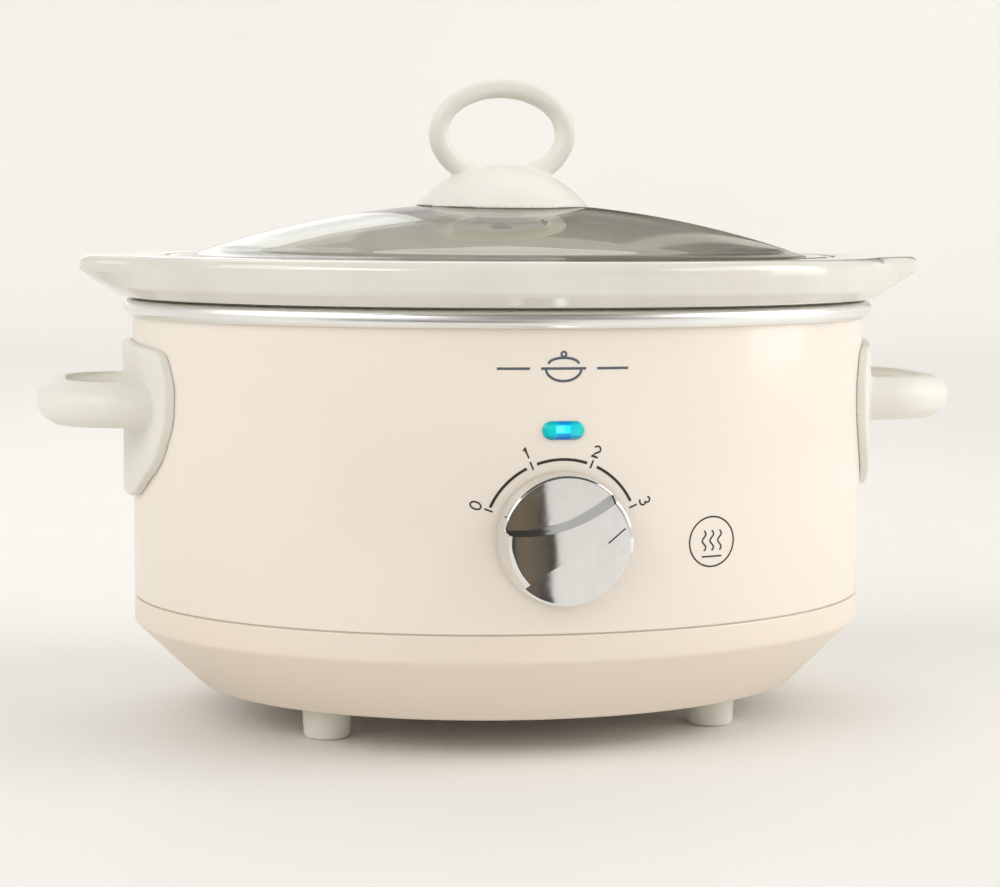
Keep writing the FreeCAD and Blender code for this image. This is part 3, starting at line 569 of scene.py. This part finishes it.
def softbox(name, spot, aim, size, power, tint=(1.0, 1.0, 1.0)):
    """Rectangular light of size (width, height) at spot, facing aim."""
    light = bpy.data.lights.new(name, "AREA")
    light.shape = "RECTANGLE"
    light.size, light.size_y = size
    light.energy = power
    light.color = tint
    return hang(name, light, spot, aim)


def soft_sun(name, spot, power, spread, tint):
    """Far light from the direction of spot, as wide in the sky as spread in degrees."""
    light = bpy.data.lights.new(name, "SUN")
    light.energy = power
    light.angle = math.radians(spread)
    light.color = tint
    hang(name, light, spot, (0.0, 0.0, 0.0))


def hang(name, light, spot, aim):
    """Put a light at spot, facing aim, where the camera can't see it."""
    lamp = bpy.data.objects.new(name, light)
    bpy.context.scene.collection.objects.link(lamp)
    lamp.visible_camera = False
    lamp.location = spot
    lamp.rotation_euler = (Vector(aim) - Vector(spot)).to_track_quat("-Z", "Y").to_euler()
    return lamp


def make_world():
    """Studio surroundings: bright overhead, a little dimmer towards the floor."""
    world = bpy.data.worlds.new("studio")
    bpy.context.scene.world = world
    world.use_nodes = True
    tree = world.node_tree
    tree.nodes.clear()
    parts = tree.nodes.new("ShaderNodeSeparateXYZ")
    heading = tree.nodes.new("ShaderNodeTexCoord")
    tree.links.new(heading.outputs["Generated"], parts.inputs[0])
    ramp = tree.nodes.new("ShaderNodeValToRGB")
    tree.links.new(parts.outputs[2], ramp.inputs["Fac"])
    bar = ramp.color_ramp.elements
    bar[0].color = (*WORLD_LOW, 1.0)
    bar[1].position = 0.6
    bar[1].color = (*WORLD_HIGH, 1.0)
    light = tree.nodes.new("ShaderNodeBackground")
    light.inputs["Strength"].default_value = WORLD_POWER
    tree.links.new(ramp.outputs["Color"], light.inputs["Color"])
    output = tree.nodes.new("ShaderNodeOutputWorld")
    tree.links.new(light.outputs[0], output.inputs["Surface"])


def card(name, outline, place, along, *stops):
    """Studio card near the cooker, seen only in reflections.

    place(a, b, deep) puts a point of the outline in space.
    stops shade the card from left to right over the range along, in metres.
    """
    verts = [place(a * MM, b * MM, side * CARD_THICK * MM) for side in (0, 1) for a, b in outline]
    count = len(outline)
    faces = [tuple(range(count)), tuple(range(2 * count - 1, count - 1, -1))]
    faces += [(k, (k + 1) % count, count + (k + 1) % count, count + k) for k in range(count)]
    panel = mesh_object(name, verts, faces)
    paint = Paint(name)
    x, _, _ = paint.place_parts()
    paint.colour(paint.ramp(paint.range(x, *along, 0.0, 1.0), *stops))
    paint.put(Roughness=0.9)
    panel.data.materials.append(paint.material)
    panel.visible_camera = False
    panel.visible_diffuse = False
    panel.visible_shadow = False
    panel.visible_transmission = False


def make_cards():
    """Dark cards that give the chrome its contrast and darken the right half of the lid."""
    near_black = ((0.0, (0.030, 0.030, 0.030)), (1.0, (0.050, 0.048, 0.045)))
    card("front_card", [(-420, 0), (60, 0), (52, 24), (50, 60), (45, 108), (-420, 108)],
         lambda x, z, deep: (x, deep - 0.40, z), (0.022, 0.054),
         (0.0, (0.085, 0.080, 0.070)), (0.42, (0.200, 0.155, 0.105)), (0.70, (0.130, 0.110, 0.085)),
         (0.85, (0.03, 0.03, 0.03)), (1.0, (0.02, 0.02, 0.02)))
    card("high_card", [(-180, 225), (760, 225), (760, 430), (-180, 430)],
         lambda x, z, deep: (x, deep - 0.75, z), (-0.20, 0.40), *near_black)
    card("ceiling_card", [(-900, -1400), (900, -1400), (900, 250), (-900, 250)],
         lambda x, y, deep: (x, y, 1.0 + deep), (-0.90, 0.90), *near_black)
    card("back_card", [(400, 330), (1700, 330), (1700, 1750), (560, 1750)],
         lambda x, z, deep: (x, deep + 2.0, z), (0.40, 1.00),
         (0.0, (0.16, 0.15, 0.12)), (0.66, (0.10, 0.095, 0.075)), (0.72, (0.62, 0.60, 0.54)),
         (0.83, (0.50, 0.49, 0.45)), (0.88, (0.012, 0.012, 0.012)))


def make_floor():
    outer = FLOOR_OUT + FLOOR_THICK
    floor = ring_solid("studio_floor", rounded([
        (0, 0, 0), (FLOOR_OUT, 0, FLOOR_BEND), (FLOOR_OUT, FLOOR_TOP, 0), (outer, FLOOR_TOP, 0),
        (outer, -FLOOR_THICK, 0), (0, -FLOOR_THICK, 0)]), on_circle, 96)
    paint = Paint("pale_floor")
    clouds = paint.noise(1.3, 3.0)
    paint.colour(paint.ramp(clouds, (0.3, (0.830, 0.815, 0.785)), (0.7, (0.855, 0.842, 0.815))))
    paint.roughness(paint.range(paint.noise(14.0, 3.0), 0.3, 0.7, 0.50, 0.60))
    paint.put(Specular_IOR_Level=0.15)
    floor.data.materials.append(paint.material)


def make_lights():
    soft_sun("key_right", (1.7, -0.75, 1.1), 0.97, 50.0, (1.0, 0.985, 0.955))
    soft_sun("fill_left", (-1.7, -1.1, 0.9), 1.56, 60.0, WARM_WHITE)
    softbox("window_right", (1.15, -0.30, 0.52), (0.0, 0.0, 0.12), (0.5, 0.7), 3.0, WARM_WHITE)
    softbox("top_back", (0.05, 0.75, 1.45), (0.0, 0.0, 0.15), (1.4, 0.8), 4.0)
    back = softbox("window_back", (-0.25, 2.40, 0.87), (0.0, 0.0, 0.20), (1.0, 0.9), 2.1)
    left = softbox("window_left", (-1.34, -1.38, 1.05), (-0.08, -0.11, 0.18), (1.0, 0.24), 5.0)
    for glint in (back, left):
        glint.visible_diffuse = False    # seen only as a reflection in the lid and the rim


bpy.context.scene.view_settings.view_transform = "Standard"
make_camera()
make_floor()
make_world()
make_cards()
make_lights()


# ---- body wall, base and heating well -------------------------------------------------
def make_base():
    """Base moulding: upright band, skirt sloping in, and a flat underside with a raised middle."""
    top = in_mm(base_high.z)
    seam = in_mm(shell_low.z) - 0.6      # shadow gap under the wall's edge
    low = in_mm(base_low.z)
    half = in_mm(HALF_X)
    corner = low + 25.9                  # where the skirt meets the band
    obj = oval_solid("base_skirt", [
        (0, low + 6.0, 0), (13.0, low + 6.0, 0.4), (13.0, low, 0.5), (half - 26.8, low, 4.0),
        (half, corner, 3.0), (half, seam, 0.7), (half - 1.1, seam, 0.2), (half - 1.1, top, 0.5),
        (half - 3.0, top, 0.5), (half - 3.0, corner + 1.0, 2.0), (half - 27.8, low + 2.4, 3.0),
        (15.4, low + 2.4, 0.4), (15.4, low + 8.4, 0.4), (0, low + 8.4, 0)])
    finish_piece(obj, "cream_plastic", "base", "base_moulding")


def make_wall():
    half = in_mm(HALF_X)
    low = in_mm(shell_low.z)
    high = in_mm(shell_high.z)
    obj = oval_solid("body_wall", [
        (half - SHEET, low, 0.2), (half, low, 0.3), (half, high, 0.2), (half - SHEET, high, 0.2)])
    finish_piece(obj, "cream_paint", "base", "body_shell")


def make_well():
    """Heating well whose mouth runs out flat and rolls over the wall as the bright bead."""
    low = in_mm(well_low.z)
    top = in_mm(well_high.z)
    hem = top - 6.7                      # underside of the bead
    out = in_mm(well_high.x - well_low.x) / 2
    wall = in_mm(HALF_X) + 0.05
    obj = oval_solid("heating_well_and_bead", [
        (0, low, 0), (123.3, low, 20.0), (138.3, top - SHEET, 0.7),
        (out - SHEET, top - SHEET, 2.5), (out - SHEET, hem + SHEET, 2.5), (wall, hem + SHEET, 0.1),
        (wall, hem, 0.2), (out, hem, 3.3), (out, top, 3.3), (137.5, top, 1.5),
        (122.5, low + SHEET, 19.2), (0, low + SHEET, 0)])
    finish_piece(obj, "aluminium", "base", "heating_well")


# ---- pot ------------------------------------------------------------------------------
RIM_X = 160.3                # mm, half the rim's length where it is plain
LUG_START = 52.0             # distance from the long axis where the rim begins to draw out
LUG_FULL = 22.0              # and where the lug has its full length
LUG_SQUARE = 9.0             # how far past the plain rim the lug's end has become straight
POT_FOOT = 1.2               # height of the bare foot ring
POT_FLOOR = 10.5
LEDGE_DROP = 3.9             # from the rim's top down to the ledge that the lid sits on


def pot_outline(lug):
    """Outline of the pot's section: plain rim, or the rim drawn out into a lug."""
    low = in_mm(crock_low.z)
    bead = in_mm(well_high.z)
    top = in_mm(crock_high.z)
    ledge = top - LEDGE_DROP
    rim = [(154.8, bead + 1.0, 2.5), (RIM_X, bead + 5.5, 3.0),
           (RIM_X, bead + 10.5, 2.0), (RIM_X, top, 4.2)]
    if lug:
        tip = in_mm(crock_high.x - crock_low.x) / 2
        rim = [(155.6, bead + 1.4, 2.5), (163.5, bead + 6.3, 6.0),
               (tip, bead + 9.7, 3.6), (tip - 0.2, top, 3.4)]
    outside = [(0, low + POT_FOOT, 0), (92.0, low + POT_FOOT, 0.6), (92.6, low, 0.4),
               (119.0, low, 18.0), (134.9, bead, 0.9), (146.5, bead, 0.5), (147.2, bead + 0.8, 0.4)]
    inside = [(137.4, top, 1.8), (137.4, ledge, 0.9), (126.6, ledge, 1.6),
              (110.5, low + POT_FLOOR, 17.0), (0, low + POT_FLOOR, 0)]
    return rounded(outside + rim + inside, fixed=9)


def make_crock():
    plain = pot_outline(False)
    drawn = dict(zip(plain, pot_outline(True)))

    def on_crock(x, z, turn):
        """Point on the pot: the section eases from rim to lug near each end of the oval."""
        away = abs(RIM_X * ASPECT * math.sin(turn))
        share = max(0.0, min(1.0, (LUG_START - away) / (LUG_START - LUG_FULL)))
        share *= share * (3 - 2 * share)
        lug_x, lug_z = drawn[(x, z)]
        x += (lug_x - x) * share
        z += (lug_z - z) * share
        flat = max(0.0, min(1.0, (in_mm(x) - RIM_X) / LUG_SQUARE)) * share
        across = x * (abs(math.cos(turn)) * (1 - flat) + flat)
        y = OVAL_Y + min(x, RIM_X * MM) * ASPECT * math.sin(turn)
        return (math.copysign(across, math.cos(turn)), y, z)

    obj = ring_solid("stoneware_pot", plain, on_crock, POT_STEPS, 60.0)
    finish_piece(obj, "glaze", "crock", "crock")
    obj.data.materials.append(BISCUIT)
    for face in obj.data.polygons:
        if face.center.z < crock_low.z + 0.5 * MM:
            face.material_index = 1


# ---- lid ------------------------------------------------------------------------------
def arc_points(start, middle, end, steps):
    """Points of the arc through three (x, z) points in mm."""
    (x1, y1), (x2, y2), (x3, y3) = start, middle, end
    d = 2 * (x1 * (y2 - y3) + x2 * (y3 - y1) + x3 * (y1 - y2))
    s1, s2, s3 = x1 * x1 + y1 * y1, x2 * x2 + y2 * y2, x3 * x3 + y3 * y3
    cx = (s1 * (y2 - y3) + s2 * (y3 - y1) + s3 * (y1 - y2)) / d
    cy = (s1 * (x3 - x2) + s2 * (x1 - x3) + s3 * (x2 - x1)) / d
    a1 = math.atan2(y1 - cy, x1 - cx)
    a3 = math.atan2(y3 - cy, x3 - cx)
    radius = math.hypot(x1 - cx, y1 - cy)
    return [(cx + radius * math.cos(a1 + (a3 - a1) * k / steps),
             cy + radius * math.sin(a1 + (a3 - a1) * k / steps)) for k in range(steps + 1)]


GLASS_THICK = 4.0
GLASS_HOLE = 3.2             # radius of the hole for the handle's screw


def make_glass():
    """Lid glass: dome, flare out to the flat edge, and the edge rounded over."""
    low = in_mm(glass_low.z)
    apex = in_mm(glass_high.z)
    edge = in_mm(glass_high.x - glass_low.x) / 2
    bend = GLASS_THICK / 2

    def face(drop):
        """The upper face's line, moved down by drop."""
        top = apex - drop
        dome = arc_points((12.0, top), (70.0, top - 6.3), (118.0, top - 18.3), 26)
        rim_top = low + GLASS_THICK - drop
        flare = arc_points((118.0, top - 18.3), (124.5, top - 20.3), (131.0, rim_top), 6)
        return dome + flare[1:]

    turns = [math.pi * k / 10 for k in range(11)]
    rim = [(edge - bend + bend * math.sin(a), low + bend + bend * math.cos(a)) for a in turns]
    outline = ([(GLASS_HOLE, apex)] + face(0.0) + rim + face(GLASS_THICK)[::-1]
               + [(GLASS_HOLE, apex - GLASS_THICK)])
    obj = ring_solid("lid_dome", [(x * MM, z * MM) for x, z in outline], on_oval, RING_STEPS, 50.0)
    finish_piece(obj, "clear_glass", "lid", "lid_glass")


def moulded(name, node, voxel, passes, slot_name, body):
    """A moulded piece made from its CAD node, with every edge and inside corner eased."""
    obj = new_object(name, NODES[node].data.copy())
    remesh = obj.modifiers.new("remesh", "REMESH")
    remesh.mode = "VOXEL"
    remesh.voxel_size = voxel * MM
    ease = obj.modifiers.new("ease", "SMOOTH")
    ease.factor = 0.5
    ease.iterations = passes
    apply_modifiers(obj)
    smooth(obj, 180.0)
    finish_piece(obj, slot_name, body, node)


make_base()
make_wall()
make_well()
make_crock()
make_glass()
moulded("lid_ring_handle", "lid_handle", 0.55, 5, "grey_plastic", "lid")
moulded("side_handle_r", "side_handle_right", 0.6, 4, "grey_plastic", "base")
moulded("side_handle_l", "side_handle_left", 0.6, 4, "grey_plastic", "base")


# ---- feet -----------------------------------------------------------------------------
FOOT_LOW_R = 9.0             # mm, radius on the worktop
FOOT_TOP_R = 9.9
SCREW_WELL_R = 4.2           # recess for the screw, and how deep it goes
SCREW_WELL_TOP = 8.6
SCREW_HOLE_R = 2.0


def make_foot(node):
    low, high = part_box(node)
    centre = (low + high) / 2
    top = in_mm(high.z)
    obj = ring_solid(node + "_moulding", rounded([
        (SCREW_WELL_R, 0, 0.5), (FOOT_LOW_R, 0, 1.6), (FOOT_TOP_R, top, 0.3),
        (SCREW_HOLE_R, top, 0), (SCREW_HOLE_R, SCREW_WELL_TOP, 0),
        (SCREW_WELL_R, SCREW_WELL_TOP, 0)]),
        lambda x, z, turn: on_circle(x, z, turn, centre), 64)
    finish_piece(obj, "grey_plastic", "base", node)


for foot_node in sorted(n for n in NODES if n.startswith("foot_") and n != "foot_screws"):
    make_foot(foot_node)


# ---- indicator window -----------------------------------------------------------------
WINDOW = (15.7, 6.9)         # mm, width and height of the window that shows
FLANGE = (19.0, 10.6)        # its flange behind the wall
WINDOW_CROWN = (8.5, 2.2)    # its flat front
WINDOW_ROUND = 1.1           # radius of its front edge
END_STEPS = 14               # steps round each end


def stadium(long, tall):
    """Outline of a slot with round ends, about its middle."""
    reach = (long - tall) / 2
    half = tall / 2
    points = []
    for end in (1, -1):
        for k in range(END_STEPS + 1):
            a = -math.pi / 2 + math.pi * k / END_STEPS
            points.append((end * (reach + half * math.cos(a)), end * half * math.sin(a)))
    return points


def make_lens():
    front = lens_low.y
    back = lens_high.y
    long, tall = WINDOW
    layers = [(*FLANGE, back), (*FLANGE, back - 1.1 * MM), (long, tall, back - 1.2 * MM)]
    for k in range(7):
        a = math.pi / 2 * k / 6
        shrink = WINDOW_ROUND * (1 - math.cos(a)) * 2
        y = front + (1.25 - WINDOW_ROUND * math.sin(a)) * MM
        layers.append((long - shrink, tall - shrink, y))
    layers.append((*WINDOW_CROWN, front))
    verts, faces, rings = [], [], []
    for wide, high, y in layers:
        ring = [(x * MM, y, LENS_Z + z * MM) for x, z in stadium(wide, high)]
        rings.append(range(len(verts), len(verts) + len(ring)))
        verts += ring
    count = len(rings[0])
    for a, b in zip(rings, rings[1:]):
        faces += [(a[k], a[(k + 1) % count], b[(k + 1) % count], b[k]) for k in range(count)]
    faces += [tuple(rings[0]), tuple(rings[-1])]
    obj = smooth(mesh_object("indicator_window", verts, faces), 40.0)
    finish_piece(obj, "blue_lens", "base", "lamp_lens")


make_lens()


# ---- printed marks on the body wall ---------------------------------------------------
INK_LOW = 0.01 * MM          # the ink's inner and outer faces, out from the wall
INK_HIGH = 0.07 * MM
FINE_LINE = 0.62             # mm, widths of the printed lines
DIAL_LINE = 1.05
MARK_LINE = 0.95
DIAL_R = 29.05               # radius of the arcs and ticks round the knob
DIAL_SPANS = ((156.4, 117.4), (109.4, 71.8), (63.9, 26.9))      # degrees
TICK_ANGLES = (158.8, 113.3, 68.2, 22.6)
FIGURE_R = 34.2
FIGURE_SIZE = 1.12
HEAT_MARK = (59.5, 83.0)     # x and z of its middle
POT_MARK_Z = 149.0


def marks(name, strokes, width, ink_material):
    """Printed lines on the body wall: each stroke is a run of (x, z) points in mm."""
    verts, faces = [], []
    for points in strokes:
        closed = (Vector(points[0]) - Vector(points[-1])).length < 1e-6
        pts = [Vector(p) for p in (points[:-1] if closed else points)]
        count = len(pts)
        start = len(verts)
        for i, p in enumerate(pts):
            before = pts[i - 1] if closed or i else p
            after = pts[(i + 1) % count] if closed or i < count - 1 else p
            run = (after - before).normalized()
            side = Vector((-run.y, run.x)) * width / 2
            if closed or 0 < i < count - 1:
                first = (p - before).normalized()
                side /= max(0.5, run.dot(first))
            for edge in (p + side, p - side):
                for lift in (INK_HIGH, INK_LOW):
                    x = edge.x * MM
                    verts.append((x, wall_front(x, lift), edge.y * MM))
        for i in range(count if closed else count - 1):
            a = start + 4 * i
            b = start + 4 * ((i + 1) % count)
            faces += [(a, a + 2, b + 2, b), (a + 1, b + 1, b + 3, a + 3), (a, b, b + 1, a + 1),
                      (a + 2, a + 3, b + 3, b + 2)]
        if not closed:
            last = start + 4 * (count - 1)
            faces += [(start, start + 1, start + 3, start + 2),
                      (last, last + 2, last + 3, last + 1)]
    finish_piece(mesh_object(name, verts, faces), "dark_plastic", "base", material=ink_material)


def bow(cx, cz, rx, rz, start, end, steps):
    """Points round part of an ellipse, angles in degrees."""
    turns = [math.radians(start + (end - start) * k / steps) for k in range(steps + 1)]
    return [(cx + rx * math.cos(a), cz + rz * math.sin(a)) for a in turns]


def figure(digit):
    """Stroke paths of a plain thin figure, 2 units wide and 3.6 tall about its middle."""
    if digit == 0:
        return [bow(0, 0, 1.15, 1.8, 0, 360, 32)]
    if digit == 1:
        return [[(-0.75, 1.15), (0.1, 1.8), (0.1, 0.0), (0.1, -1.8)]]
    if digit == 2:
        top = bow(0, 0.72, 1.05, 1.08, 165, -28, 18)
        return [top + [(-0.2, -0.75), (-1.12, -1.8), (1.15, -1.8)]]
    return [bow(0, 0.88, 0.95, 0.92, 150, -80, 18), bow(0, -0.83, 1.12, 0.97, 80, -150, 20)]


def placed(paths, x, z, turn, size):
    """Paths scaled by size, turned, and moved to (x, z)."""
    c, s = math.cos(turn) * size, math.sin(turn) * size
    return [[(x + px * c - pz * s, z + px * s + pz * c) for px, pz in path] for path in paths]


def make_dial():
    """Four ticks with the figures 0 to 3, and an arc between each two."""
    z = in_mm(KNOB_Z)
    arcs = [bow(0, z, DIAL_R, DIAL_R, start, end, 30) for start, end in DIAL_SPANS]
    ticks = []
    figures = []
    for digit, angle in enumerate(TICK_ANGLES):
        a = math.radians(angle)
        c, s = math.cos(a), math.sin(a)
        ticks.append([(r * c, z + r * s) for r in (DIAL_R - 1.45, DIAL_R, DIAL_R + 1.75)])
        figures += placed(figure(digit), FIGURE_R * c, z + FIGURE_R * s, a - math.pi / 2,
                          FIGURE_SIZE)
    marks("dial_arcs", arcs, DIAL_LINE, DIAL_INK)
    marks("dial_ticks", ticks, FINE_LINE, DIAL_INK)
    marks("dial_figures", figures, FINE_LINE, DIAL_INK)


def make_heat_mark():
    """Plain ring round three rising heat waves and a bar."""
    cx, cz = HEAT_MARK
    waves = []
    for shift in (-3.3, 0.0, 3.3):
        waves.append([(cx + shift + 0.75 * math.sin(math.tau * k / 16), cz - 3.4 + 7.6 * k / 24)
                      for k in range(25)])
    bar = [(cx + x, cz - 5.6) for x in (-4.2, 0, 4.2)]
    marks("heat_mark_waves", waves, FINE_LINE, DIAL_INK)
    marks("heat_mark_ring", [bow(cx, cz, 9.4, 9.4, 0, 360, 64)], FINE_LINE, DIAL_INK)
    marks("heat_mark_bar", [bar], FINE_LINE, DIAL_INK)


def make_pot_mark():
    """Small line picture of a lidded pot, with a plain rule on each side."""
    z = POT_MARK_Z
    pot = [
        bow(0, z, 6.6, 4.6, 180, 360, 24),
        [(-8.4, z), (0, z), (8.4, z)],
        bow(0, z + 1.7, 5.6, 2.2, 0, 180, 20),
    ]
    marks("pot_mark", pot, MARK_LINE, SLATE_INK)
    marks("pot_mark_knob", [bow(0, z + 5.2, 0.9, 0.9, 0, 360, 20)], 0.8, SLATE_INK)
    rules = [[(side * 12.5, z), (side * 18.5, z), (side * 24.5, z)] for side in (-1, 1)]
    marks("pot_mark_rules", rules, MARK_LINE, SLATE_INK)


make_dial()
make_heat_mark()
make_pot_mark()


# ---- everything else keeps its CAD shape ----------------------------------------------
SLOT_OF = {row["node"]: row["material_slot"] for row in frame["record"]["subparts"]}


def dress_cad_nodes():
    """Give each CAD node that still shows its material and smooth shading."""
    for name, node in NODES.items():
        if node.hide_render:
            continue
        node.data.materials.clear()
        node.data.materials.append(MATERIALS[SLOT_OF[name]])
        for face in node.data.polygons:
            face.use_smooth = True
        node.data.set_sharp_from_angle(angle=math.radians(30))


dress_cad_nodes()
